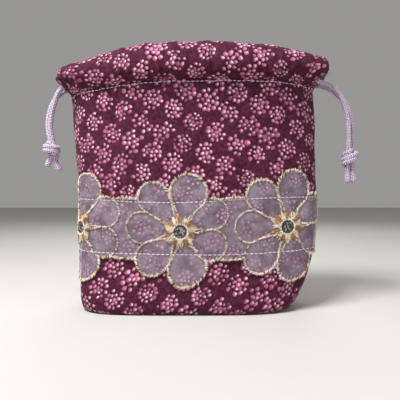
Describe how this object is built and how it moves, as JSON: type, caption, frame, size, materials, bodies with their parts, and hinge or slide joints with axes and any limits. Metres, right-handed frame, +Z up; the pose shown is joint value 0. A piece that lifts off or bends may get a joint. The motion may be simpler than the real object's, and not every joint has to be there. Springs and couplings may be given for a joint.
{
  "type": "kinchaku drawstring pouch",
  "caption": "Small boxed-bottom drawstring pouch in plum dotted cotton, with an embroidered organza flower lace sewn round it and knotted lilac cords at both sides.",
  "frame": {"origin": "middle of the pouch's width and depth, at the bottom of its base", "axes": "+X to the right of the front panel, +Y from the front panel to the back panel, +Z up from the base to the mouth"},
  "size_m": [0.1943, 0.068, 0.152],
  "materials": {
    "printed_cotton": "matte printed cotton, pink dot clusters on plum",
    "organza_lace": "sheer lavender-grey organza",
    "lilac_cord": "braided lilac cord, slightly glossy",
    "gold_thread": "satin embroidery thread, cream with gold",
    "dark_thread": "dark metallic thread knots",
    "sewing_thread": "pale lilac sewing thread"
  },
  "bodies": {
    "root": {"front_panel": "printed_cotton", "back_panel": "printed_cotton", "lace_band": "organza_lace", "left_drawstring": "lilac_cord", "left_knot": "lilac_cord", "right_drawstring": "lilac_cord", "right_knot": "lilac_cord"}
  },
  "joints": []
}
